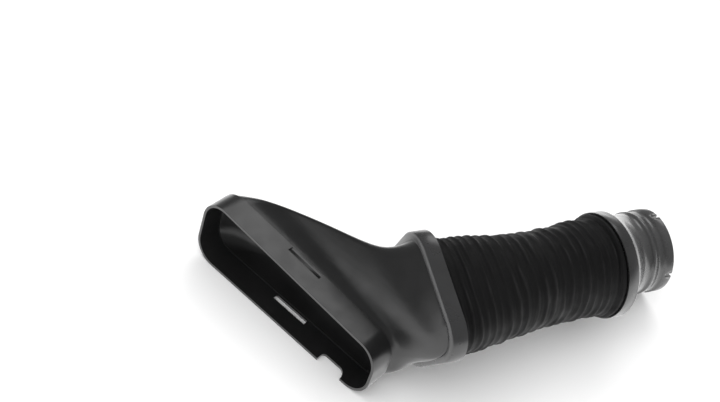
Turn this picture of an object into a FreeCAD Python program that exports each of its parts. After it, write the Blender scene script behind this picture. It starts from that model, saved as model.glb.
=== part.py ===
import FreeCAD, Part
import math
import os

V = FreeCAD.Vector

# All sizes are in millimetres and all angles in degrees. While it is modelled, X runs along the hose from
# the scoop to the outlet with zero at the middle of the scoop collar, and Z is the height above the floor
# that the duct lies on. The far side is +Y.

# Walls and fits
WALL = 2.5
COLLAR_WALL = 3.0
FLANGE_THICKNESS = 2.5
SEAT_CLEARANCE = 0.2
CUFF_CLEARANCE = 0.3
SHOULDER = 1.5
OVERRUN = 1.0

# Scoop collar, a rounded square ring turned about the hose
COLLAR_LONG = 111.0
COLLAR_SHORT = 102.0
COLLAR_CORNER = 26.5
COLLAR_BAND = 13.5
COLLAR_ROLL = 20.0
COLLAR_FLOOR_GAP = 0.5
COLLAR_EDGE = 1.2
FLANGE_REACH = 7.0

# Mouth of the scoop, a slanted slot that is taller at its far end
MOUTH_LENGTH = 202.0
MOUTH_NEAR_HEIGHT = 52.0
MOUTH_FAR_HEIGHT = 67.5
MOUTH_CORNER = 21.0
MOUTH_SLANT = 23.7
MOUTH_AHEAD = 92.0
MOUTH_ASIDE = 57.3
LIP_DEPTH = 20.5
LIP_STEP = 1.2
BODY_SECTIONS = 7

# Latch windows through both long walls of the lip
WINDOW_LENGTH = 38.0
WINDOW_WIDTH = 4.2
WINDOW_ASIDE = 18.0
WINDOW_SETBACK = 1.2

# Notch in the lower lip
NOTCH_WIDTH = 26.0
NOTCH_DEPTH = 8.0
NOTCH_CORNER = 5.0
NOTCH_ASIDE = -62.0

# Outlet collar, a round ring that reaches out past the spigot's neck
OUTLET_COLLAR_REACH = 8.0
OUTLET_COLLAR_BAND = 11.2
OUTLET_COLLAR_AHEAD = 179.0
OUTLET_COLLAR_ASIDE = 11.0
OUTLET_COLLAR_HEIGHT = 58.6

# Outlet spigot, an oblique tube with a bead and a slotted rim
SPIGOT_NECK_DIAMETER = 77.0
SPIGOT_DIAMETER = 73.4
RIM_DIAMETER = 76.0
RIM_AHEAD = 257.0
RIM_ASIDE = 33.8
RIM_BAND = 9.0
SPIGOT_STRAIGHT = 26.0
BEAD_DIAMETER = 75.4
BEAD_WIDTH = 4.0
BEAD_SETBACK = 4.0
SPIGOT_SECTIONS = 9
SLOT_COUNT = 4
SLOT_WIDTH = 3.2
SLOT_DEPTH = 7.0
SLOT_TURN = 80.0

# Bellows hose
FOLD_COUNT = 16
FOLD_DEPTH = 3.0
HOSE_WALL = 1.5
HOSE_START_INSET = 4.5
HOSE_MIDDLE_DIAMETER = 84.0
HOSE_END_DIAMETER = 87.0
HOSE_NECKING_SHARE = 0.32
HOSE_FLARE_SHARE = 0.3
CUFF_SHOW = 4.0
CUFF_TO_FOLD = 1.2
STUB_SETBACK = 2.0
OUTLINE_POINTS = 40

# Sizes that follow from those above
COLLAR_FRONT = -COLLAR_BAND / 2
COLLAR_BACK = COLLAR_BAND / 2
ROLL = math.radians(COLLAR_ROLL)
COLLAR_HEIGHT = (
    (COLLAR_LONG / 2 - COLLAR_CORNER) * abs(math.sin(ROLL))
    + (COLLAR_SHORT / 2 - COLLAR_CORNER) * math.cos(ROLL)
    + COLLAR_CORNER
    + COLLAR_FLOOR_GAP
)
STUB_INSET = FLANGE_REACH + SHOULDER
OUTLET_COLLAR_RADIUS = SPIGOT_NECK_DIAMETER / 2 + OUTLET_COLLAR_REACH
OUTLET_COLLAR_BACK = OUTLET_COLLAR_AHEAD + OUTLET_COLLAR_BAND
OUTLET_AXIS = V(0, OUTLET_COLLAR_ASIDE, OUTLET_COLLAR_HEIGHT)
RIM_AXIS = V(0, RIM_ASIDE, RIM_DIAMETER / 2)
SPIGOT_START = RIM_AHEAD - SPIGOT_STRAIGHT
SPIGOT_BORE_RADIUS = SPIGOT_DIAMETER / 2 - WALL


def blend(first, last, share):
    """Value that lies the given share of the way from first to last."""
    return first + (last - first) * share


def ease(share):
    """Share that leaves 0 and reaches 1 without a kink."""
    held = min(max(share, 0.0), 1.0)
    return held * held * (3 - 2 * held)


def rounded_loop(corners, radius):
    """Closed wire of straight sides with the same arc in each corner."""
    edges = []
    last_end = None
    first_start = None
    for index, corner in enumerate(corners):
        back = (corners[index - 1] - corner).normalize()
        ahead = (corners[(index + 1) % len(corners)] - corner).normalize()
        half_angle = back.getAngle(ahead) / 2
        reach = radius / math.tan(half_angle)
        start = corner + back * reach
        end = corner + ahead * reach
        inward = (back + ahead).normalize()
        middle = corner + inward * (radius / math.sin(half_angle) - radius)
        if last_end is None:
            first_start = start
        else:
            edges.append(Part.LineSegment(last_end, start).toShape())
        edges.append(Part.Arc(start, middle, end).toShape())
        last_end = end
    edges.append(Part.LineSegment(last_end, first_start).toShape())
    return Part.Wire(edges)


def circle_loop(x, axis, radius):
    """Circle square to the hose, at a place along it."""
    centre = V(x, axis.y, axis.z)
    return Part.Wire([Part.Circle(centre, V(1, 0, 0), radius).toShape()])


def along(wires, length):
    """Solid or tube from one loop, or from an outer and an inner one, drawn out along the hose."""
    return Part.makeFace(wires, "Part::FaceMakerBullseye").extrude(V(length, 0, 0))


def mouth_point(aside, height, behind_lip):
    """Point at a distance along the mouth from its middle, at a height and a depth behind the lip."""
    slant = math.radians(MOUTH_SLANT)
    x = behind_lip - MOUTH_AHEAD - aside * math.sin(slant)
    y = MOUTH_ASIDE + aside * math.cos(slant)
    return V(x, y, height)


def mouth_corners(inset, behind_lip):
    """Corners of the mouth's outline: far low, near low, near high, far high."""
    half = MOUTH_LENGTH / 2 - inset
    return [
        mouth_point(half, inset, behind_lip),
        mouth_point(-half, inset, behind_lip),
        mouth_point(-half, MOUTH_NEAR_HEIGHT - inset, behind_lip),
        mouth_point(half, MOUTH_FAR_HEIGHT - inset, behind_lip),
    ]


def mouth_loop(inset, behind_lip):
    """Outline of the mouth, drawn in by an inset."""
    return rounded_loop(mouth_corners(inset, behind_lip), MOUTH_CORNER - inset)


def collar_corners(inset, x):
    """Corners of the scoop collar's outline in the same order as the mouth's."""
    half_long = COLLAR_LONG / 2 - inset
    half_short = COLLAR_SHORT / 2 - inset
    corners = []
    for across, up in ((1, -1), (-1, -1), (-1, 1), (1, 1)):
        flat = across * half_long
        tall = up * half_short
        y = flat * math.cos(ROLL) - tall * math.sin(ROLL)
        z = COLLAR_HEIGHT + flat * math.sin(ROLL) + tall * math.cos(ROLL)
        corners.append(V(x, y, z))
    return corners


def collar_loop(inset, x):
    """Outline of the scoop collar, drawn in by an inset."""
    return rounded_loop(collar_corners(inset, x), COLLAR_CORNER - inset)


def body_loop(share, mouth_inset, collar_inset):
    """Outline of the scoop's body at a share of the way from the lip to the collar."""
    start = mouth_corners(mouth_inset, LIP_DEPTH)
    finish = collar_corners(collar_inset, COLLAR_FRONT)
    sweep = ease(share)
    corners = []
    for begin, end in zip(start, finish):
        x = blend(begin.x, end.x, share)
        y = blend(begin.y, end.y, sweep)
        z = blend(begin.z, end.z, sweep)
        corners.append(V(x, y, z))
    radius = blend(MOUTH_CORNER - mouth_inset, COLLAR_CORNER - collar_inset, sweep)
    return rounded_loop(corners, radius)


def body_solid(mouth_inset, collar_inset):
    """Smooth solid from the back of the lip to the front of the collar."""
    loops = []
    for step in range(BODY_SECTIONS):
        loops.append(body_loop(step / (BODY_SECTIONS - 1), mouth_inset, collar_inset))
    return Part.makeLoft(loops, True, False)


def latch_windows():
    """Cutter for the two windows, one above the other, just ahead of the lip's step."""
    front = LIP_DEPTH - WINDOW_SETBACK - WINDOW_WIDTH
    back = LIP_DEPTH - WINDOW_SETBACK
    low = -OVERRUN
    corners = []
    for end, behind_lip in ((1, front), (-1, front), (-1, back), (1, back)):
        aside = WINDOW_ASIDE + end * WINDOW_LENGTH / 2
        corners.append(mouth_point(aside, low, behind_lip))
    face = Part.Face(Part.makePolygon(corners + corners[:1]))
    return face.extrude(V(0, 0, MOUTH_FAR_HEIGHT + 2 * OVERRUN))


def lip_notch():
    """Cutter for the rounded notch in the lower lip."""
    corners = []
    for end, behind_lip in ((1, -NOTCH_DEPTH), (-1, -NOTCH_DEPTH), (-1, NOTCH_DEPTH), (1, NOTCH_DEPTH)):
        aside = NOTCH_ASIDE + end * NOTCH_WIDTH / 2
        corners.append(mouth_point(aside, -OVERRUN, behind_lip))
    face = Part.Face(rounded_loop(corners, NOTCH_CORNER))
    return face.extrude(V(0, 0, WALL + 2 * OVERRUN))


def intake_scoop():
    """One moulded shell: lip, swept body and the neck that carries collar and hose."""
    lip = along([mouth_loop(0, 0), mouth_loop(WALL, 0)], LIP_DEPTH)
    outside = body_solid(LIP_STEP, FLANGE_REACH)
    inside = body_solid(LIP_STEP + WALL, STUB_INSET + WALL)
    body = outside.cut(inside)
    stub_length = COLLAR_BAND - STUB_SETBACK
    neck_loops = [collar_loop(STUB_INSET, COLLAR_FRONT), collar_loop(STUB_INSET + WALL, COLLAR_FRONT)]
    neck = along(neck_loops, stub_length)
    shell = lip.fuse([body, neck])
    return shell.cut([latch_windows(), lip_notch()])


def ease_front(solid, x, size):
    """Chamfer the edges of a plain block that lie in its end face at x."""
    tolerance = size / 100
    edges = [edge for edge in solid.Edges if abs(edge.BoundBox.XMin - x) + abs(edge.BoundBox.XMax - x) < tolerance]
    return solid.makeChamfer(size, edges)


def scoop_collar():
    """Cup ring: its flange seats on the neck's shoulder and its band holds the cuff."""
    block = ease_front(along([collar_loop(0, COLLAR_FRONT)], COLLAR_BAND), COLLAR_FRONT, COLLAR_EDGE)
    pocket_start = COLLAR_FRONT + FLANGE_THICKNESS
    pocket = along([collar_loop(COLLAR_WALL, pocket_start)], COLLAR_BAND)
    hole = along([collar_loop(STUB_INSET - SEAT_CLEARANCE, COLLAR_FRONT - OVERRUN)], COLLAR_BAND)
    return block.cut([pocket, hole])


def outlet_collar():
    """Round cup ring, open to the hose, with its flange on the spigot's shoulder."""
    front = OUTLET_COLLAR_AHEAD
    block = along([circle_loop(front, OUTLET_AXIS, OUTLET_COLLAR_RADIUS)], OUTLET_COLLAR_BAND)
    block = ease_front(block, OUTLET_COLLAR_BACK, COLLAR_EDGE)
    pocket_depth = OUTLET_COLLAR_BAND - FLANGE_THICKNESS
    pocket_radius = OUTLET_COLLAR_RADIUS - COLLAR_WALL
    pocket = along([circle_loop(front - OVERRUN, OUTLET_AXIS, pocket_radius)], pocket_depth + OVERRUN)
    hole_radius = SPIGOT_NECK_DIAMETER / 2 + SEAT_CLEARANCE
    hole = along([circle_loop(front, OUTLET_AXIS, hole_radius)], OUTLET_COLLAR_BAND + OVERRUN)
    return block.cut([pocket, hole])


def oblique_solid(start_radius, end_radius):
    """Solid of the oblique tube from the outlet collar to the straight spigot."""
    loops = []
    for step in range(SPIGOT_SECTIONS):
        share = step / (SPIGOT_SECTIONS - 1)
        sweep = ease(share)
        x = blend(OUTLET_COLLAR_BACK, SPIGOT_START, share)
        axis = blend(OUTLET_AXIS, RIM_AXIS, sweep)
        loops.append(circle_loop(x, axis, blend(start_radius, end_radius, sweep)))
    return Part.makeLoft(loops, True, True)


def spigot_ring(axis, x, width, diameter, bore_radius):
    """Plain ring square to the hose."""
    return along([circle_loop(x, axis, diameter / 2), circle_loop(x, axis, bore_radius)], width)


def rim_slots():
    """Cutters for the slots that run in from the end of the rim."""
    cutters = []
    for index in range(SLOT_COUNT):
        box = Part.makeBox(SLOT_DEPTH + OVERRUN, SLOT_WIDTH, RIM_DIAMETER)
        box.translate(V(RIM_AHEAD - SLOT_DEPTH, RIM_ASIDE - SLOT_WIDTH / 2, RIM_AXIS.z))
        box.rotate(RIM_AXIS, V(1, 0, 0), SLOT_TURN + index * 360 / SLOT_COUNT)
        cutters.append(box)
    return cutters


def outlet_spigot():
    """One moulded tube: neck in the hose, shoulder, oblique run, bead and slotted rim."""
    neck_radius = SPIGOT_NECK_DIAMETER / 2
    neck_start = OUTLET_COLLAR_AHEAD + STUB_SETBACK
    neck_length = OUTLET_COLLAR_BACK - neck_start
    neck = spigot_ring(OUTLET_AXIS, neck_start, neck_length, SPIGOT_NECK_DIAMETER, neck_radius - WALL)
    shoulder_diameter = SPIGOT_NECK_DIAMETER + 2 * SHOULDER
    shoulder = along([circle_loop(OUTLET_COLLAR_BACK, OUTLET_AXIS, shoulder_diameter / 2)], FLANGE_THICKNESS)
    outside = oblique_solid(neck_radius, SPIGOT_DIAMETER / 2).fuse(shoulder)
    oblique = outside.cut(oblique_solid(neck_radius - WALL, SPIGOT_BORE_RADIUS))
    straight = spigot_ring(RIM_AXIS, SPIGOT_START, SPIGOT_STRAIGHT, SPIGOT_DIAMETER, SPIGOT_BORE_RADIUS)
    bead = spigot_ring(RIM_AXIS, SPIGOT_START + BEAD_SETBACK, BEAD_WIDTH, BEAD_DIAMETER, SPIGOT_BORE_RADIUS)
    rim = spigot_ring(RIM_AXIS, RIM_AHEAD - RIM_BAND, RIM_BAND, RIM_DIAMETER, SPIGOT_BORE_RADIUS)
    tube = neck.fuse([oblique, straight, bead, rim])
    return tube.cut(rim_slots())


def corner_distance(angle, half_long, half_short, corner):
    """Distance from the middle of a rounded rectangle to its outline in a direction."""
    across = abs(math.cos(angle))
    up = abs(math.sin(angle))
    flat = half_long - corner
    tall = half_short - corner
    if up * half_long <= tall * across:
        return half_long / across
    if across * half_short <= flat * up:
        return half_short / up
    reach = across * flat + up * tall
    return reach + math.sqrt(reach * reach - flat * flat - tall * tall + corner * corner)


def hose_loop(x, axis, half_long, half_short, corner):
    """Closed outline of the hose at a place along it, from a rounded square to a circle."""
    points = []
    for index in range(OUTLINE_POINTS):
        angle = 2 * math.pi * index / OUTLINE_POINTS
        distance = corner_distance(angle, half_long, half_short, min(corner, half_long, half_short))
        y = axis.y + distance * math.cos(angle + ROLL)
        z = axis.z + distance * math.sin(angle + ROLL)
        points.append(V(x, y, z))
    curve = Part.BSplineCurve()
    curve.interpolate(points, True)
    return Part.Wire([curve.toShape()])


def fold_loop(share, inset):
    """Outline of the folded stretch at a share of its length, drawn in by an inset."""
    begin = COLLAR_BACK + CUFF_TO_FOLD
    end = OUTLET_COLLAR_AHEAD - CUFF_SHOW - CUFF_TO_FOLD
    start_axis = V(0, 0, COLLAR_HEIGHT)
    axis = blend(start_axis, OUTLET_AXIS, ease(share))
    flare = ease((share - 1 + HOSE_FLARE_SHARE) / HOSE_FLARE_SHARE)
    round_radius = blend(HOSE_MIDDLE_DIAMETER, HOSE_END_DIAMETER, flare) / 2
    necking = ease(share / HOSE_NECKING_SHARE)
    half_long = blend(COLLAR_LONG / 2 - HOSE_START_INSET, round_radius, necking) - inset
    half_short = blend(COLLAR_SHORT / 2 - HOSE_START_INSET, round_radius, necking) - inset
    corner = blend(COLLAR_CORNER, round_radius, necking) - inset
    return hose_loop(blend(begin, end, share), axis, half_long, half_short, corner)


def scoop_cuff_loop(x, inset):
    """Outline of the cuff in the scoop collar."""
    axis = V(0, 0, COLLAR_HEIGHT)
    return hose_loop(x, axis, COLLAR_LONG / 2 - inset, COLLAR_SHORT / 2 - inset, COLLAR_CORNER - inset)


def hose_solid(scoop_inset, fold_inset, outlet_radius):
    """Solid of the hose's outside or inside, cuff to cuff, with flat sides on every fold."""
    scoop_end = COLLAR_FRONT + FLANGE_THICKNESS + CUFF_CLEARANCE
    outlet_end = OUTLET_COLLAR_BACK - FLANGE_THICKNESS - CUFF_CLEARANCE
    loops = [scoop_cuff_loop(scoop_end, scoop_inset), scoop_cuff_loop(COLLAR_BACK, scoop_inset)]
    for half_fold in range(2 * FOLD_COUNT + 1):
        valley = FOLD_DEPTH * ((half_fold + 1) % 2)
        loops.append(fold_loop(half_fold / (2 * FOLD_COUNT), fold_inset + valley))
    for x in (OUTLET_COLLAR_AHEAD - CUFF_SHOW, outlet_end):
        loops.append(hose_loop(x, OUTLET_AXIS, outlet_radius, outlet_radius, outlet_radius))
    return Part.makeLoft(loops, True, True)


def bellows_hose():
    """Thin folded wall with a cuff at each end that fills the room between neck and collar."""
    outlet_outside = OUTLET_COLLAR_RADIUS - COLLAR_WALL - CUFF_CLEARANCE
    outlet_inside = SPIGOT_NECK_DIAMETER / 2 + CUFF_CLEARANCE
    outside = hose_solid(COLLAR_WALL + CUFF_CLEARANCE, 0, outlet_outside)
    inside = hose_solid(STUB_INSET - CUFF_CLEARANCE, HOSE_WALL, outlet_inside)
    return outside.cut(inside)


def floor_shift(shapes):
    """Move that puts the middle of the whole box's underside at the origin."""
    fineness = WALL / 50
    points = [point for shape in shapes for point in shape.tessellate(fineness)[0]]
    x_values = [point.x for point in points]
    y_values = [point.y for point in points]
    lowest = min(point.z for point in points)
    return V(-(min(x_values) + max(x_values)) / 2, -(min(y_values) + max(y_values)) / 2, -lowest)


def main():
    """Build every node, lay the duct on the floor and write one file for each."""
    nodes = {
        "intake_scoop": intake_scoop(),
        "scoop_collar": scoop_collar(),
        "bellows_hose": bellows_hose(),
        "outlet_collar": outlet_collar(),
        "outlet_spigot": outlet_spigot(),
    }
    shift = floor_shift(nodes.values())
    os.makedirs("parts", exist_ok=True)
    for name, shape in nodes.items():
        shape.translate(shift)
        shape.exportStep(f"parts/{name}.step")
        print(name, shape.isValid(), len(shape.Solids), len(shape.Faces), round(shape.Volume))
    rim = V(RIM_AHEAD, RIM_ASIDE, RIM_AXIS.z) + shift
    mouth = mouth_point(0, (MOUTH_NEAR_HEIGHT + MOUTH_FAR_HEIGHT) / 4, 0) + shift
    print("shift", shift, "outlet rim", rim, "mouth", mouth, "bore radius", SPIGOT_BORE_RADIUS)


main()
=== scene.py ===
"""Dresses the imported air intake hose: bellows, scoop, collars and spigot, and a studio stage."""

import math
from collections import namedtuple

import bmesh
import bpy
from mathutils import Euler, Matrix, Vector


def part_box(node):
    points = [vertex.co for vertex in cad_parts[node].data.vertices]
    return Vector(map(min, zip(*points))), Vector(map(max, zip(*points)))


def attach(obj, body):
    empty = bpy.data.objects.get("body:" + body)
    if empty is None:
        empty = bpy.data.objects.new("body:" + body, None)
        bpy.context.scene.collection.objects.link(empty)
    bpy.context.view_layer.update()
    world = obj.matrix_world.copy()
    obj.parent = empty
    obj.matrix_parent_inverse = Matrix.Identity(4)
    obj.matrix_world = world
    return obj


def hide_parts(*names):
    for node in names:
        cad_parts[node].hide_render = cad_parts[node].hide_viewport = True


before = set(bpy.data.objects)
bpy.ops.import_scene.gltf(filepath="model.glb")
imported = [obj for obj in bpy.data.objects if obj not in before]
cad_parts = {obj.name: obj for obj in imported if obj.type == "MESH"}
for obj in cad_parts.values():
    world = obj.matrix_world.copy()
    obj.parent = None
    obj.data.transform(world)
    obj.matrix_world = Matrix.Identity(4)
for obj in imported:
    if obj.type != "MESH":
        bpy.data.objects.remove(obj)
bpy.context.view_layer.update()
BODY = "root"
MILLIMETRE = 0.001

bl_info = {
    "name": "Air intake hose",
    "version": (1, 0, 0),
    "blender": (4, 5, 0),
    "location": "View3D > Sidebar > Intake hose",
    "description": "Dresses the packed air intake hose and sets up its studio stage",
    "category": "Object",
}


class BellowsProperties(bpy.types.PropertyGroup):
    """Sizes of the textile bellows."""

    fold_count: bpy.props.IntProperty(
        name="Folds", description="Main folds between the two cuffs", default=20, min=4, max=60)
    fold_depth: bpy.props.FloatProperty(
        name="Fold depth",
        description="From the crest of a fold to its valley", default=0.0018, unit="LENGTH")
    crease_depth: bpy.props.FloatProperty(
        name="Crease depth",
        description="Height of the small creases between folds", default=0.0013, unit="LENGTH")
    dent_depth: bpy.props.FloatProperty(
        name="Dent depth",
        description="How far the limp wall sags in or out", default=0.0017, unit="LENGTH")
    wander: bpy.props.FloatProperty(
        name="Wander",
        description="How far a fold strays from its place, in folds", default=0.6, min=0, max=2)
    bunching: bpy.props.FloatProperty(
        name="Bunching",
        description="How much closer the folds lie at the collars", default=0.2, min=0, max=0.9)
    wall: bpy.props.FloatProperty(
        name="Wall", description="Thickness of the coated textile", default=0.0012, unit="LENGTH")
    start_long: bpy.props.FloatProperty(
        name="Scoop end, long side",
        description="Long side at the scoop collar", default=0.102, unit="LENGTH")
    start_short: bpy.props.FloatProperty(
        name="Scoop end, short side",
        description="Short side at the scoop collar", default=0.093, unit="LENGTH")
    middle_diameter: bpy.props.FloatProperty(
        name="Middle diameter", description="Over the crests in the middle", default=0.084, unit="LENGTH")
    end_diameter: bpy.props.FloatProperty(
        name="Outlet end diameter",
        description="Over the crests at the outlet", default=0.087, unit="LENGTH")
    roll: bpy.props.FloatProperty(
        name="Roll",
        description="Turn of the rounded square end about the hose", default=math.radians(20.0),
        subtype="ANGLE")
    cuff_show: bpy.props.FloatProperty(
        name="Hem",
        description="Length of hem that shows at the outlet collar", default=0.004, unit="LENGTH")
    hem_bulge: bpy.props.FloatProperty(
        name="Hem bulge", description="How far the hem swells before it enters the collar", default=0.0018,
        unit="LENGTH")
    rings: bpy.props.IntProperty(
        name="Rings", description="Mesh rings along the hose", default=290, min=40, max=600)
    segments: bpy.props.IntProperty(
        name="Segments", description="Mesh segments round the hose", default=150, min=24, max=400)
    seed: bpy.props.FloatProperty(
        name="Seed", description="Choice of the random creases", default=4.0)


class FormProperties(bpy.types.PropertyGroup):
    """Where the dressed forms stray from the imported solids."""

    mouth_place: bpy.props.FloatVectorProperty(
        name="Mouth",
        description="Middle of the mouth's edge, seen from above", size=2, subtype="TRANSLATION",
        default=(-0.1542, 0.01347))
    mouth_slant: bpy.props.FloatProperty(
        name="Mouth slant",
        description="Turn of the mouth's edge, seen from above", default=math.radians(23.7),
        subtype="ANGLE")
    lip_depth: bpy.props.FloatProperty(
        name="Lip depth",
        description="From the mouth's edge to the lip's step", default=0.0205, unit="LENGTH")
    lip_lean: bpy.props.FloatProperty(
        name="Lip lean", description="How far the lip's back leans to the far side", default=0.0100,
        unit="LENGTH")
    lip_pout: bpy.props.FloatProperty(
        name="Lip pout", description="How far the lower lip stands forward", default=0.0025, unit="LENGTH")
    window_place: bpy.props.FloatProperty(
        name="Window place",
        description="Where the packed windows lie along the lip, from the mouth's middle",
        default=0.018, unit="LENGTH")
    window_slide: bpy.props.FloatProperty(
        name="Window slide",
        description="How far the windows slide along the lip to its near end", default=0.018,
        unit="LENGTH")
    window_spread: bpy.props.FloatProperty(
        name="Window spread", description="Half the length of lip that slides with a window", default=0.045,
        unit="LENGTH")
    waist: bpy.props.FloatProperty(
        name="Waist",
        description="How much lower the body is ahead of the collar, as a share", default=0.112,
        min=0, max=0.3)
    corner_tuck: bpy.props.FloatProperty(
        name="Corner tuck",
        description="How far the low near corner is drawn in, as a share", default=0.247,
        min=0, max=0.5)
    tuck_spread: bpy.props.FloatProperty(
        name="Tuck spread", description="Half the angle that the drawn-in corner takes up",
        default=math.radians(39.5), subtype="ANGLE")
    tuck_turn: bpy.props.FloatProperty(
        name="Tuck turn",
        description="Where the drawn-in corner lies about the hose", default=math.radians(-123.7),
        subtype="ANGLE")
    tuck_run: bpy.props.FloatProperty(
        name="Tuck run", description="Length of hose that follows the drawn-in corner", default=0.137,
        unit="LENGTH")


class FinishProperties(bpy.types.PropertyGroup):
    """Colours and gloss of the finishes."""

    scoop_colour: bpy.props.FloatVectorProperty(
        name="Scoop", description="Satin black moulding", subtype="COLOR", size=3, min=0, max=1,
        default=(0.0095, 0.0095, 0.0097))
    collar_colour: bpy.props.FloatVectorProperty(
        name="Collars", description="Dark grey moulding", subtype="COLOR", size=3, min=0, max=1,
        default=(0.022, 0.022, 0.0225))
    spigot_colour: bpy.props.FloatVectorProperty(
        name="Spigot", description="Glossier dark grey moulding", subtype="COLOR", size=3, min=0, max=1,
        default=(0.045, 0.045, 0.0455))
    textile_colour: bpy.props.FloatVectorProperty(
        name="Textile", description="Black coated textile", subtype="COLOR", size=3, min=0, max=1,
        default=(0.005, 0.005, 0.0052))
    # Painted highlight: a lighter textile colour that the material lays on the folds' crests.
    crest_highlight_colour: bpy.props.FloatVectorProperty(
        name="Painted crest highlight",
        description="Textile painted lighter on the folds' crests as a highlight", subtype="COLOR", size=3,
        min=0, max=1, default=(0.017, 0.017, 0.0174))


class StageProperties(bpy.types.PropertyGroup):
    """Floor, light and camera."""

    floor_colour: bpy.props.FloatVectorProperty(
        name="Floor", description="Plain pale floor", subtype="COLOR", size=3, min=0, max=1,
        default=(0.95, 0.95, 0.95))
    ambient: bpy.props.FloatProperty(
        name="Ambient", description="Strength of the even light from all round", default=1.05, min=0)
    horizon: bpy.props.FloatProperty(
        name="Horizon",
        description="Brightness of the mirrored surroundings at eye level", default=1.0, min=0)
    zenith: bpy.props.FloatProperty(
        name="Zenith", description="Brightness of the mirrored surroundings overhead", default=0.22, min=0)
    floor_glow: bpy.props.FloatProperty(
        name="Floor glow",
        description="Extra brightness of the floor where it is mirrored", default=0.9, min=0)
    key_power: bpy.props.FloatProperty(
        name="Key light", description="Power of the large light above the scoop", default=9.0, unit="POWER")
    rim_power: bpy.props.FloatProperty(
        name="Back light", description="Power of the light above the outlet", default=8.0, unit="POWER")
    camera_place: bpy.props.FloatVectorProperty(
        name="Camera place", description="Where the camera stands", subtype="TRANSLATION", size=3,
        default=(-0.53441, -0.60602, 0.82002))
    camera_turn: bpy.props.FloatVectorProperty(
        name="Camera turn", description="How the camera is turned", subtype="EULER", size=3,
        default=tuple(math.radians(angle) for angle in (46.42, -12.092, -23.179)))
    camera_lens: bpy.props.FloatProperty(
        name="Lens", description="Focal length in millimetres on a 36 mm sensor", default=65.376)


def put_in_scene(name, mesh):
    """New object at the origin with that mesh."""
    piece = bpy.data.objects.new(name, mesh)
    bpy.context.scene.collection.objects.link(piece)
    return piece


def plain_mesh(piece):
    """Turn a piece with modifiers into a piece with that result as its mesh."""
    depsgraph = bpy.context.evaluated_depsgraph_get()
    mesh = bpy.data.meshes.new_from_object(piece.evaluated_get(depsgraph))
    piece.modifiers.clear()
    piece.data = mesh


# Height at which the lower lip no longer stands forward, and rise of the upper lip along the mouth.
LIP_HEIGHT = 50.0 * MILLIMETRE
LIP_RISE = 0.077

# How many times sooner than the body the windows' slide dies out, and how late the waist lies.
LIP_HOLD = 6.0
WAIST_LATENESS = 1.30
FULL_TURN = 2.0 * math.pi


def held_share(share):
    """Share held between 0 and 1."""
    return min(max(share, 0.0), 1.0)


def ease(share):
    """Share that leaves 0 and reaches 1 without a kink."""
    held = held_share(share)
    return held * held * (3.0 - 2.0 * held)


def collar_middle():
    """Middle of the scoop collar, and where it starts and ends along the hose."""
    low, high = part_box("scoop_collar")
    return (low + high) / 2, low.x, high.x


def tuck_corner(form, collar, point, weight):
    """Draw a point in towards the hose's middle if it lies near the low near corner."""
    middle = collar[0]
    y = point.y - middle.y
    z = point.z - middle.z
    turn = math.remainder(math.atan2(z, y) - form.tuck_turn, FULL_TURN)
    drawn = 1.0 - form.corner_tuck * weight * math.exp(-((turn / form.tuck_spread) ** 2))
    point.y = middle.y + y * drawn
    point.z = middle.z + z * drawn


def slide_window(form, point, share):
    """Slide a point of the lip along its wall, with the window that it belongs to."""
    forth = point.x - form.mouth_place[0]
    aside = point.y - form.mouth_place[1]
    along = aside * math.cos(form.mouth_slant) - forth * math.sin(form.mouth_slant)
    offset = (along - form.window_place) / form.window_spread
    slide = form.window_slide * math.exp(-(offset ** 4)) * (1.0 - ease(share * LIP_HOLD))
    point.x += slide * math.sin(form.mouth_slant)
    point.y -= slide * math.cos(form.mouth_slant)
    point.z -= slide * LIP_RISE * held_share(point.z / LIP_HEIGHT)


def form_scoop(form, collar, point):
    """Slide the windows, lean the lip and push its lower edge forward, and let the body dip and tuck in."""
    edge = form.mouth_place[0] - (point.y - form.mouth_place[1]) * math.tan(form.mouth_slant)
    behind = point.x - edge
    body_run = max(collar[1] - edge - form.lip_depth, MILLIMETRE)
    share = (behind - form.lip_depth) / body_run
    fade = 1.0 - ease(share)
    lowness = 1.0 - held_share(point.z / LIP_HEIGHT)
    dip = math.sin(math.pi * held_share(share) ** WAIST_LATENESS)
    slide_window(form, point, share)
    point.y += form.lip_lean * held_share(behind / form.lip_depth) * fade
    point.x -= form.lip_pout * lowness * fade
    point.z -= form.waist * point.z * dip
    tuck_corner(form, collar, point, ease(share))


def form_collar(form, collar, point):
    """Tuck in the scoop collar's low near corner."""
    tuck_corner(form, collar, point, 1.0)


def keep_form(form, collar, point):
    """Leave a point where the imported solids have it."""


def form_hose(form, collar, point):
    """Let the hose follow the collar's drawn-in corner."""
    tuck_corner(form, collar, point, 1.0 - ease((point.x - collar[2]) / form.tuck_run))


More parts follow.
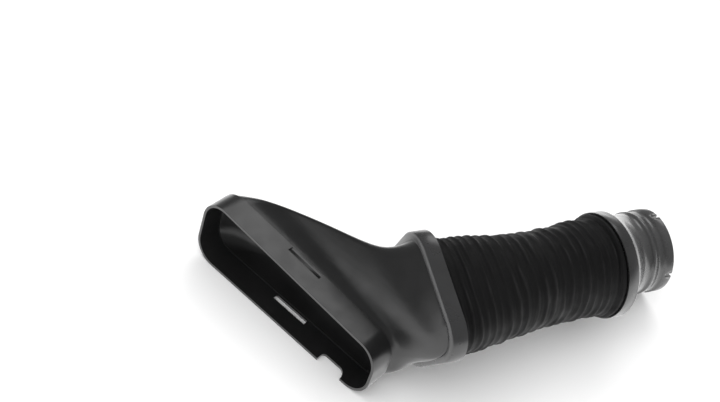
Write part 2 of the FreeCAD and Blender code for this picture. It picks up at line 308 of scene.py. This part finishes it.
class NodeBench:
    """Short ways to add and join nodes in one tree."""

    def __init__(self, tree):
        self.tree = tree

    def add(self, kind, **settings):
        """New node with those settings."""
        node = self.tree.nodes.new(kind)
        for name, value in settings.items():
            setattr(node, name, value)
        return node

    def feed(self, socket, value):
        """Join a socket to another, or give it a fixed value."""
        if isinstance(value, bpy.types.NodeSocket):
            self.tree.links.new(value, socket)
        else:
            socket.default_value = value

    def maths(self, operation, first, second=0.0):
        """Result of one sum."""
        node = self.add("ShaderNodeMath", operation=operation)
        self.feed(node.inputs[0], first)
        self.feed(node.inputs[1], second)
        return node.outputs[0]

    def blend(self, first, last, share):
        """Value that lies the given share of the way from first to last."""
        span = self.maths("SUBTRACT", last, first)
        return self.maths("ADD", first, self.maths("MULTIPLY", span, share))

    def ramp(self, value, low, high, result_low=0.0, result_high=1.0, shape="SMOOTHSTEP"):
        """Value moved from one range to another, held at the ends."""
        node = self.add("ShaderNodeMapRange", interpolation_type=shape)
        for socket, entry in zip(node.inputs, (value, low, high, result_low, result_high)):
            self.feed(socket, entry)
        return node.outputs[0]

    def vector(self, x, y, z):
        """Vector from three values."""
        node = self.add("ShaderNodeCombineXYZ")
        for socket, value in zip(node.inputs, (x, y, z)):
            self.feed(socket, value)
        return node.outputs[0]

    def noise(self, place, seed, scale, detail):
        """Smooth random value about zero."""
        node = self.add("ShaderNodeTexNoise", noise_dimensions="4D")
        for name, value in (("Vector", place), ("W", seed), ("Scale", scale), ("Detail", detail)):
            self.feed(node.inputs[name], value)
        return self.maths("SUBTRACT", node.outputs[0], 0.5)


BELLOWS_INPUTS = (
    ("First X", "NodeSocketFloat"),
    ("Last X", "NodeSocketFloat"),
    ("Fold start X", "NodeSocketFloat"),
    ("Fold end X", "NodeSocketFloat"),
    ("Start Y", "NodeSocketFloat"),
    ("Start Z", "NodeSocketFloat"),
    ("End Y", "NodeSocketFloat"),
    ("End Z", "NodeSocketFloat"),
    ("Start long", "NodeSocketFloat"),
    ("Start short", "NodeSocketFloat"),
    ("Middle diameter", "NodeSocketFloat"),
    ("End diameter", "NodeSocketFloat"),
    ("Hem diameter", "NodeSocketFloat"),
    ("Hem bulge", "NodeSocketFloat"),
    ("Collar X", "NodeSocketFloat"),
    ("Roll", "NodeSocketFloat"),
    ("Folds", "NodeSocketFloat"),
    ("Fold depth", "NodeSocketFloat"),
    ("Crease depth", "NodeSocketFloat"),
    ("Dent depth", "NodeSocketFloat"),
    ("Wander", "NodeSocketFloat"),
    ("Bunching", "NodeSocketFloat"),
    ("Seed", "NodeSocketFloat"),
    ("Rings", "NodeSocketInt"),
    ("Segments", "NodeSocketInt"),
    ("Textile", "NodeSocketMaterial"),
)
NECKING_SHARE = 0.7
FLARE_SHARE = 0.3
SQUARENESS = 3.2
ROUNDNESS = 2.0
CREST_SHARPNESS = 1.9
CUFF_BLEND = 1.2 * MILLIMETRE


def bellows_section(bench, given, share, angle):
    """Distance from the hose's middle to the crests: a rounded square that necks to a circle."""
    necking = bench.ramp(share, 0.0, NECKING_SHARE)
    flare = bench.ramp(share, 1.0 - FLARE_SHARE, 1.0)
    round_diameter = bench.blend(given["Middle diameter"], given["End diameter"], flare)
    half_long = bench.maths("DIVIDE", bench.blend(given["Start long"], round_diameter, necking), 2.0)
    half_short = bench.maths("DIVIDE", bench.blend(given["Start short"], round_diameter, necking), 2.0)
    power = bench.blend(SQUARENESS, ROUNDNESS, necking)
    across = bench.maths("DIVIDE", bench.maths("ABSOLUTE", bench.maths("COSINE", angle)), half_long)
    upright = bench.maths("DIVIDE", bench.maths("ABSOLUTE", bench.maths("SINE", angle)), half_short)
    total = bench.maths("ADD", bench.maths("POWER", across, power), bench.maths("POWER", upright, power))
    return bench.maths("POWER", total, bench.maths("DIVIDE", -1.0, power))


Ripple = namedtuple("Ripple", "along scale detail seed_step")
STRAY = Ripple(5.0, 1.6, 2.0, 0.0)
FADE = Ripple(14.0, 1.2, 1.0, 21.0)
CREASE = Ripple(60.0, 1.1, 2.0, 7.0)
DENT = Ripple(7.0, 1.5, 1.0, 13.0)
FADE_LOW = -0.16
FADE_HIGH = 0.14
FADED_SHARE = 0.35


def ripple_noise(bench, given, share, angle, ripple):
    """Smooth random value on the hose's wall, with no seam where the ring closes."""
    along = bench.maths("MULTIPLY", share, ripple.along)
    place = bench.vector(along, bench.maths("COSINE", angle), bench.maths("SINE", angle))
    seed = bench.maths("ADD", given["Seed"], ripple.seed_step)
    return bench.noise(place, seed, ripple.scale, ripple.detail)


def bellows_folds(bench, given, share, angle):
    """Height of the uneven main folds from 0 to 1, and the finer creases and the dents about 0."""
    stray = bench.maths("MULTIPLY", ripple_noise(bench, given, share, angle, STRAY), given["Wander"])
    wave = bench.maths("SINE", bench.maths("MULTIPLY", share, FULL_TURN))
    bunched = bench.maths("MULTIPLY", wave, bench.maths("DIVIDE", given["Bunching"], FULL_TURN))
    spread = bench.maths("MULTIPLY", bench.maths("ADD", share, bunched), given["Folds"])
    turn = bench.maths("MULTIPLY", bench.maths("ADD", spread, stray), FULL_TURN)
    crest = bench.maths("SUBTRACT", 0.5, bench.maths("MULTIPLY", bench.maths("COSINE", turn), 0.5))
    fade_noise = ripple_noise(bench, given, share, angle, FADE)
    fade = bench.ramp(fade_noise, FADE_LOW, FADE_HIGH, FADED_SHARE, 1.0)
    main = bench.maths("MULTIPLY", bench.maths("POWER", crest, CREST_SHARPNESS), fade)
    crease = ripple_noise(bench, given, share, angle, CREASE)
    dent = ripple_noise(bench, given, share, angle, DENT)
    return main, crease, dent


SEAM_DISTANCE = 0.01 * MILLIMETRE
CREASE_SHARE = 0.6


def bellows_tree():
    """Geometry Nodes tree of the bellows: a grid bent into a tube with folds, creases and plain cuffs."""
    tree = bpy.data.node_groups.new("Textile bellows", "GeometryNodeTree")
    bench = NodeBench(tree)
    for name, kind in BELLOWS_INPUTS:
        tree.interface.new_socket(name=name, in_out="INPUT", socket_type=kind)
    tree.interface.new_socket(name="Geometry", in_out="OUTPUT", socket_type="NodeSocketGeometry")
    given = {socket.name: socket for socket in bench.add("NodeGroupInput").outputs if socket.name}
    grid = bench.add("GeometryNodeMeshGrid")
    for name, value in (("Size X", 1.0), ("Size Y", 1.0)):
        bench.feed(grid.inputs[name], value)
    bench.feed(grid.inputs["Vertices X"], given["Rings"])
    bench.feed(grid.inputs["Vertices Y"], given["Segments"])
    cut = bench.add("ShaderNodeSeparateXYZ")
    bench.feed(cut.inputs[0], bench.add("GeometryNodeInputPosition").outputs[0])
    along = bench.maths("ADD", cut.outputs[0], 0.5)
    angle = bench.maths("MULTIPLY", bench.maths("ADD", cut.outputs[1], 0.5), FULL_TURN)
    x = bench.blend(given["First X"], given["Last X"], along)
    share = bench.ramp(x, given["Fold start X"], given["Fold end X"], shape="LINEAR")
    crest_distance = bellows_section(bench, given, share, angle)
    main, crease, dent = bellows_folds(bench, given, share, angle)
    valley = bench.maths("MULTIPLY", given["Fold depth"], bench.maths("SUBTRACT", main, 1.0))
    folded = bench.maths("ADD", crest_distance, valley)
    folded = bench.maths("ADD", folded, bench.maths("MULTIPLY", given["Crease depth"], crease))
    folded = bench.maths("ADD", folded, bench.maths("MULTIPLY", given["Dent depth"], dent))
    before_folds = bench.maths("SUBTRACT", given["Fold start X"], CUFF_BLEND)
    after_folds = bench.maths("ADD", given["Fold end X"], CUFF_BLEND)
    leave_cuff = bench.ramp(x, before_folds, given["Fold start X"])
    reach_hem = bench.ramp(x, given["Fold end X"], after_folds)
    distance = bench.blend(crest_distance, folded, leave_cuff)
    tuck = bench.ramp(x, bench.maths("SUBTRACT", given["Collar X"], CUFF_BLEND), given["Collar X"])
    hem = bench.maths("DIVIDE", given["Hem diameter"], 2.0)
    hem = bench.blend(bench.maths("ADD", hem, given["Hem bulge"]), hem, tuck)
    distance = bench.blend(distance, hem, reach_hem)
    sweep = bench.ramp(share, 0.0, 1.0)
    direction = bench.maths("ADD", angle, given["Roll"])
    middle_y = bench.blend(given["Start Y"], given["End Y"], sweep)
    middle_z = bench.blend(given["Start Z"], given["End Z"], sweep)
    y = bench.maths("ADD", middle_y, bench.maths("MULTIPLY", distance, bench.maths("COSINE", direction)))
    z = bench.maths("ADD", middle_z, bench.maths("MULTIPLY", distance, bench.maths("SINE", direction)))
    mapped = bench.add("GeometryNodeStoreNamedAttribute", data_type="FLOAT2", domain="CORNER")
    mapped.inputs["Name"].default_value = "UVMap"
    bench.feed(mapped.inputs["Value"], grid.outputs["UV Map"])
    height = bench.add("GeometryNodeStoreNamedAttribute", data_type="FLOAT", domain="POINT")
    height.inputs["Name"].default_value = "fold_height"
    bench.feed(height.inputs["Value"], bench.maths("ADD", main, bench.maths("MULTIPLY", crease, CREASE_SHARE)))
    place = bench.add("GeometryNodeSetPosition")
    bench.feed(place.inputs["Position"], bench.vector(x, y, z))
    merge = bench.add("GeometryNodeMergeByDistance")
    merge.inputs["Distance"].default_value = SEAM_DISTANCE
    flip = bench.add("GeometryNodeFlipFaces")
    smooth = bench.add("GeometryNodeSetShadeSmooth")
    realize = bench.add("GeometryNodeRealizeInstances")
    finish = bench.add("GeometryNodeSetMaterial")
    bench.feed(finish.inputs["Material"], given["Textile"])
    line = (grid, mapped, height, place, merge, flip, smooth, realize, finish, bench.add("NodeGroupOutput"))
    for first, second in zip(line, line[1:]):
        tree.links.new(first.outputs[0], second.inputs[0])
    return tree


def give_inputs(modifier, values):
    """Set a modifier's inputs by the identifiers of the tree's sockets."""
    for socket in modifier.node_group.interface.items_tree:
        if socket.in_out == "INPUT":
            modifier[socket.identifier] = values[socket.name]


def finish_material(name):
    """New node material: its bench, its shader and its object coordinates."""
    material = bpy.data.materials.new(name)
    material.use_nodes = True
    bench = NodeBench(material.node_tree)
    shader = material.node_tree.nodes["Principled BSDF"]
    coordinates = bench.add("ShaderNodeTexCoord")
    return material, bench, shader, coordinates


Speckle = namedtuple("Speckle", "scale detail low high", defaults=(0.0, 1.0))


def speckle(bench, place, pattern):
    """Noise from 0 to 1 at a place."""
    node = bench.add("ShaderNodeTexNoise")
    bench.feed(node.inputs["Vector"], place)
    node.inputs["Scale"].default_value = pattern.scale
    node.inputs["Detail"].default_value = pattern.detail
    return node.outputs[0]


def mixed_colour(bench, first, second, share):
    """Colour between two colours."""
    node = bench.add("ShaderNodeMix", data_type="RGBA")
    bench.feed(node.inputs[0], share)
    node.inputs[6].default_value = (*first, 1.0)
    node.inputs[7].default_value = (*second, 1.0)
    return node.outputs[2]


Moulding = namedtuple("Moulding", "gloss_low gloss_high specular grain_depth")
SCOOP_MOULDING = Moulding(0.28, 0.36, 0.5, 0.006 * MILLIMETRE)
COLLAR_MOULDING = Moulding(0.26, 0.34, 0.6, 0.006 * MILLIMETRE)
SPIGOT_MOULDING = Moulding(0.24, 0.3, 0.7, 0.004 * MILLIMETRE)
CLOUDS = Speckle(22.0, 4.0, 0.35, 0.7)
CLOUD_GAIN = 1.35
SHEEN = Speckle(70.0, 5.0, 0.3, 0.7)
GRAIN = Speckle(420.0, 2.0)
GRAIN_STRENGTH = 0.2


def moulded_plastic(name, colour, moulding):
    """Black moulding: faint clouds in colour and gloss, and a fine grain."""
    material, bench, shader, coordinates = finish_material(name)
    place = coordinates.outputs["Object"]
    lighter = [value * CLOUD_GAIN for value in colour]
    clouds = bench.ramp(speckle(bench, place, CLOUDS), CLOUDS.low, CLOUDS.high)
    bench.feed(shader.inputs["Base Color"], mixed_colour(bench, colour, lighter, clouds))
    sheen_noise = speckle(bench, place, SHEEN)
    sheen = bench.ramp(sheen_noise, SHEEN.low, SHEEN.high, moulding.gloss_low, moulding.gloss_high)
    bench.feed(shader.inputs["Roughness"], sheen)
    shader.inputs["Specular IOR Level"].default_value = moulding.specular
    grain = bench.add("ShaderNodeBump")
    grain.inputs["Strength"].default_value = GRAIN_STRENGTH
    grain.inputs["Distance"].default_value = moulding.grain_depth
    bench.feed(grain.inputs["Height"], speckle(bench, place, GRAIN))
    bench.feed(shader.inputs["Normal"], grain.outputs[0])
    return material


WEAVE_THREADS = (230.0, 330.0)
WEAVE_STRENGTH = 0.35
WEAVE_DEPTH = 0.15 * MILLIMETRE
NAP = Speckle(55.0, 5.0, 0.3, 0.7)
NAP_HIGHLIGHT_TOP = 0.65
TEXTILE_ROUGHNESS_LOW = 0.62
TEXTILE_ROUGHNESS_HIGH = 0.8
TEXTILE_SPECULAR = 0.2
# Fold heights over which the painted crest highlight comes in.
CREST_HIGHLIGHT_FROM = 0.55
CREST_HIGHLIGHT_FULLY = 1.15


def coated_textile(colour, crest_highlight_colour):
    """Black coated cloth: plain weave, crests painted lighter as a highlight, and a dull nap."""
    material, bench, shader, coordinates = finish_material("Coated textile")
    height = bench.add("ShaderNodeAttribute", attribute_name="fold_height").outputs["Fac"]
    nap = speckle(bench, coordinates.outputs["Object"], NAP)
    # Painted highlight: the folds' crests are painted lighter, in patches set by the nap.
    crests = bench.ramp(height, CREST_HIGHLIGHT_FROM, CREST_HIGHLIGHT_FULLY)
    crest_highlight = bench.maths("MULTIPLY", crests, bench.ramp(nap, NAP.low, NAP_HIGHLIGHT_TOP))
    bench.feed(shader.inputs["Base Color"], mixed_colour(bench, colour, crest_highlight_colour, crest_highlight))
    dullness = bench.ramp(nap, NAP.low, NAP.high, TEXTILE_ROUGHNESS_LOW, TEXTILE_ROUGHNESS_HIGH)
    bench.feed(shader.inputs["Roughness"], dullness)
    shader.inputs["Specular IOR Level"].default_value = TEXTILE_SPECULAR
    cut = bench.add("ShaderNodeSeparateXYZ")
    bench.feed(cut.inputs[0], coordinates.outputs["UV"])
    threads = []
    for socket, count in zip(cut.outputs, WEAVE_THREADS):
        threads.append(bench.maths("SINE", bench.maths("MULTIPLY", socket, count * math.pi)))
    weave = bench.maths("MULTIPLY", threads[0], threads[1])
    bump = bench.add("ShaderNodeBump")
    bump.inputs["Strength"].default_value = WEAVE_STRENGTH
    bump.inputs["Distance"].default_value = WEAVE_DEPTH
    bench.feed(bump.inputs["Height"], weave)
    bench.feed(shader.inputs["Normal"], bump.outputs[0])
    return material


MERGE_DISTANCE = 0.005 * MILLIMETRE
FLAT_ANGLE = math.radians(0.4)
EDGE_ANGLE = math.radians(38.0)
SCOOP_EDGE = 0.35 * MILLIMETRE
ROUNDING_SEGMENTS = 2
EVEN_WEIGHT = 50


def joined_mesh(node, material, move):
    """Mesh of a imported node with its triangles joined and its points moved."""
    form = bpy.context.scene.hose_form
    collar = collar_middle()
    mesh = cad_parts[node].data.copy()
    mesh.materials.clear()
    mesh.materials.append(material)
    shape = bmesh.new()
    shape.from_mesh(mesh)
    bmesh.ops.remove_doubles(shape, verts=shape.verts, dist=MERGE_DISTANCE)
    for vertex in shape.verts:
        move(form, collar, vertex.co)
    shape.to_mesh(mesh)
    shape.free()
    mesh.shade_smooth()
    return mesh


def placed_piece(node, name, mesh):
    """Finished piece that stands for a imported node."""
    piece = put_in_scene(name, mesh)
    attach(piece, BODY)
    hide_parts(node)
    return piece


def turned_piece(node, name, material, move):
    """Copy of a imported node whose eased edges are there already, shaded smooth between them."""
    mesh = joined_mesh(node, material, move)
    mesh.set_sharp_from_angle(angle=EDGE_ANGLE)
    return placed_piece(node, name, mesh)


def moulded_piece(node, name, material, edge, move):
    """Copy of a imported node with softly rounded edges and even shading."""
    mesh = joined_mesh(node, material, move)
    shape = bmesh.new()
    shape.from_mesh(mesh)
    bmesh.ops.dissolve_limit(shape, angle_limit=FLAT_ANGLE, verts=shape.verts, edges=shape.edges)
    shape.to_mesh(mesh)
    shape.free()
    piece = placed_piece(node, name, mesh)
    rounding = piece.modifiers.new("Rounded edges", "BEVEL")
    rounding.width = edge
    rounding.segments = ROUNDING_SEGMENTS
    rounding.limit_method = "ANGLE"
    rounding.angle_limit = EDGE_ANGLE
    evening = piece.modifiers.new("Even shading", "WEIGHTED_NORMAL")
    evening.weight = EVEN_WEIGHT
    plain_mesh(piece)
    return piece


class HOSE_OT_textile_bellows(bpy.types.Operator):
    """Make the folded textile hose between the two collars"""

    bl_idname = "hose.textile_bellows"
    bl_label = "Textile bellows"

    def execute(self, context):
        sizes = context.scene.hose_bellows
        colours = context.scene.hose_finish
        hose_low, hose_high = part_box("bellows_hose")
        collar_low, collar_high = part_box("scoop_collar")
        ring_low, ring_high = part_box("outlet_collar")
        start = (collar_low + collar_high) / 2
        end = (ring_low + ring_high) / 2
        values = {
            "First X": hose_low.x,
            "Last X": hose_high.x,
            "Fold start X": collar_high.x + CUFF_BLEND,
            "Fold end X": ring_low.x - sizes.cuff_show - CUFF_BLEND,
            "Start Y": start.y,
            "Start Z": start.z,
            "End Y": end.y,
            "End Z": end.z,
            "Start long": sizes.start_long,
            "Start short": sizes.start_short,
            "Middle diameter": sizes.middle_diameter,
            "End diameter": sizes.end_diameter,
            "Hem diameter": sizes.end_diameter - CUFF_BLEND / 2,
            "Hem bulge": sizes.hem_bulge,
            "Collar X": ring_low.x,
            "Roll": sizes.roll,
            "Folds": float(sizes.fold_count),
            "Fold depth": sizes.fold_depth,
            "Crease depth": sizes.crease_depth,
            "Dent depth": sizes.dent_depth,
            "Wander": sizes.wander,
            "Bunching": sizes.bunching,
            "Seed": sizes.seed,
            "Rings": sizes.rings,
            "Segments": sizes.segments,
            "Textile": coated_textile(colours.textile_colour, colours.crest_highlight_colour),
        }
        piece = put_in_scene("textile_bellows", bpy.data.meshes.new("textile_bellows"))
        folding = piece.modifiers.new("Folds", "NODES")
        folding.node_group = bellows_tree()
        give_inputs(folding, values)
        thickness = piece.modifiers.new("Wall", "SOLIDIFY")
        thickness.thickness = sizes.wall
        thickness.offset = -1.0
        plain_mesh(piece)
        if not piece.data.polygons:
            raise RuntimeError("the bellows came out empty")
        form = context.scene.hose_form
        collar = collar_middle()
        for vertex in piece.data.vertices:
            form_hose(form, collar, vertex.co)
        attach(piece, BODY)
        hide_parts("bellows_hose")
        return {"FINISHED"}


class HOSE_OT_moulded_scoop(bpy.types.Operator):
    """Finish the scoop with its lip, windows and swept body"""

    bl_idname = "hose.moulded_scoop"
    bl_label = "Moulded scoop"

    def execute(self, context):
        colour = context.scene.hose_finish.scoop_colour
        material = moulded_plastic("Scoop moulding", colour, SCOOP_MOULDING)
        piece = moulded_piece("intake_scoop", "moulded_scoop", material, SCOOP_EDGE, form_scoop)
        return {"FINISHED"}


class HOSE_OT_cup_collars(bpy.types.Operator):
    """Finish the two collars that hold the bellows"""

    bl_idname = "hose.cup_collars"
    bl_label = "Cup collars"

    def execute(self, context):
        colour = context.scene.hose_finish.collar_colour
        material = moulded_plastic("Collar moulding", colour, COLLAR_MOULDING)
        pieces = (
            turned_piece("scoop_collar", "square_cup_collar", material, form_collar),
            turned_piece("outlet_collar", "round_cup_collar", material, keep_form),
        )
        return {"FINISHED"}


class HOSE_OT_slotted_spigot(bpy.types.Operator):
    """Finish the oblique outlet spigot with its bead and slotted rim"""

    bl_idname = "hose.slotted_spigot"
    bl_label = "Slotted spigot"

    def execute(self, context):
        colour = context.scene.hose_finish.spigot_colour
        material = moulded_plastic("Spigot moulding", colour, SPIGOT_MOULDING)
        piece = turned_piece("outlet_spigot", "slotted_spigot", material, keep_form)
        return {"FINISHED"}


FLOOR_HALF = 4.0
FLOOR_CLOUDS = Speckle(3.0, 2.0)
FLOOR_GAIN = 1.01
FLOOR_ROUGHNESS = 0.9
FLOOR_SPECULAR = 0.1
WHITE = (1.0, 1.0, 1.0, 1.0)
SENSOR_WIDTH = 36.0
KEY_PLACE = Vector((-0.9, -0.5, 1.9))
KEY_SIZE = 2.0
BACK_PLACE = Vector((0.7, 1.0, 1.3))
BACK_SIZE = 1.0
HORIZON_RISE = -0.05
ZENITH_RISE = 0.14


def stage_floor(colour, glow):
    """Plain pale floor that the hose lies on, brighter where the mouldings mirror it."""
    mesh = bpy.data.meshes.new("studio_floor")
    corners = [(x * FLOOR_HALF, y * FLOOR_HALF, 0.0) for x, y in ((-1, -1), (1, -1), (1, 1), (-1, 1))]
    mesh.from_pydata(corners, [], [(0, 1, 2, 3)])
    material, bench, shader, coordinates = finish_material("Pale floor")
    paler = [min(value * FLOOR_GAIN, 1.0) for value in colour]
    clouds = speckle(bench, coordinates.outputs["Object"], FLOOR_CLOUDS)
    bench.feed(shader.inputs["Base Color"], mixed_colour(bench, colour, paler, clouds))
    shader.inputs["Roughness"].default_value = FLOOR_ROUGHNESS
    shader.inputs["Specular IOR Level"].default_value = FLOOR_SPECULAR
    shader.inputs["Emission Color"].default_value = WHITE
    mirrored = bench.add("ShaderNodeLightPath").outputs["Is Glossy Ray"]
    bench.feed(shader.inputs["Emission Strength"], bench.maths("MULTIPLY", mirrored, glow))
    mesh.materials.append(material)
    put_in_scene("studio_floor", mesh)


def stage_light(name, place, size, power, mirrored):
    """Square soft light that faces the object and may show in its gloss."""
    lamp = bpy.data.lights.new(name, "AREA")
    lamp.size = size
    lamp.energy = power
    holder = bpy.data.objects.new(name, lamp)
    holder.location = place
    holder.visible_glossy = mirrored
    holder.rotation_euler = (-place).to_track_quat("-Z", "Y").to_euler()
    bpy.context.scene.collection.objects.link(holder)


def stage_world(ambient, horizon, zenith):
    """Even light from all round, with a paler horizon where it is mirrored."""
    world = bpy.data.worlds.new("Studio")
    world.use_nodes = True
    bpy.context.scene.world = world
    bench = NodeBench(world.node_tree)
    lighting = world.node_tree.nodes["Background"]
    lighting.inputs["Color"].default_value = WHITE
    cut = bench.add("ShaderNodeSeparateXYZ")
    bench.feed(cut.inputs[0], bench.add("ShaderNodeTexCoord").outputs["Generated"])
    gradient = bench.ramp(cut.outputs[2], HORIZON_RISE, ZENITH_RISE, horizon, zenith)
    rays = bench.add("ShaderNodeLightPath")
    strength = bench.blend(ambient, gradient, rays.outputs["Is Glossy Ray"])
    bench.feed(lighting.inputs["Strength"], bench.maths("MAXIMUM", strength, rays.outputs["Is Camera Ray"]))


def stage_camera(settings):
    """Camera at the photograph's viewing angle."""
    data = bpy.data.cameras.new("Studio camera")
    data.sensor_fit = "HORIZONTAL"
    data.sensor_width = SENSOR_WIDTH
    data.lens = settings.camera_lens
    holder = bpy.data.objects.new("Studio camera", data)
    holder.location = settings.camera_place
    holder.rotation_euler = Euler(settings.camera_turn, "XYZ")
    bpy.context.scene.collection.objects.link(holder)
    bpy.context.scene.camera = holder


class HOSE_OT_studio_stage(bpy.types.Operator):
    """Set up the floor, the light and the camera"""

    bl_idname = "hose.studio_stage"
    bl_label = "Studio stage"

    def execute(self, context):
        settings = context.scene.hose_stage
        stage_floor(settings.floor_colour, settings.floor_glow)
        stage_light("Key light", KEY_PLACE, KEY_SIZE, settings.key_power, False)
        stage_light("Back light", BACK_PLACE, BACK_SIZE, settings.rim_power, True)
        stage_world(settings.ambient, settings.horizon, settings.zenith)
        stage_camera(settings)
        context.scene.view_settings.view_transform = "Standard"
        return {"FINISHED"}


OPERATORS = (
    HOSE_OT_textile_bellows,
    HOSE_OT_moulded_scoop,
    HOSE_OT_cup_collars,
    HOSE_OT_slotted_spigot,
    HOSE_OT_studio_stage,
)


class HOSE_PT_panel(bpy.types.Panel):
    """Lists the steps that dress the hose"""

    bl_idname = "HOSE_PT_panel"
    bl_label = "Intake hose"
    bl_space_type = "VIEW_3D"
    bl_region_type = "UI"
    bl_category = "Intake hose"

    def draw(self, context):
        for operator in OPERATORS:
            self.layout.operator(operator.bl_idname)


PROPERTY_GROUPS = {
    "hose_bellows": BellowsProperties,
    "hose_form": FormProperties,
    "hose_finish": FinishProperties,
    "hose_stage": StageProperties,
}
CLASSES = (*PROPERTY_GROUPS.values(), *OPERATORS, HOSE_PT_panel)


def register():
    """Register the classes and give the scene its settings."""
    for entry in CLASSES:
        bpy.utils.register_class(entry)
    for name, group in PROPERTY_GROUPS.items():
        setattr(bpy.types.Scene, name, bpy.props.PointerProperty(type=group))


def unregister():
    """Take the settings and the classes away again."""
    for name in PROPERTY_GROUPS:
        delattr(bpy.types.Scene, name)
    for entry in reversed(CLASSES):
        bpy.utils.unregister_class(entry)


def main():
    """Dress the hose and set the stage."""
    register()
    bpy.ops.hose.textile_bellows()
    bpy.ops.hose.moulded_scoop()
    bpy.ops.hose.cup_collars()
    bpy.ops.hose.slotted_spigot()
    bpy.ops.hose.studio_stage()
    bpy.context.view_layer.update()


if __name__ == "__main__":
    main()
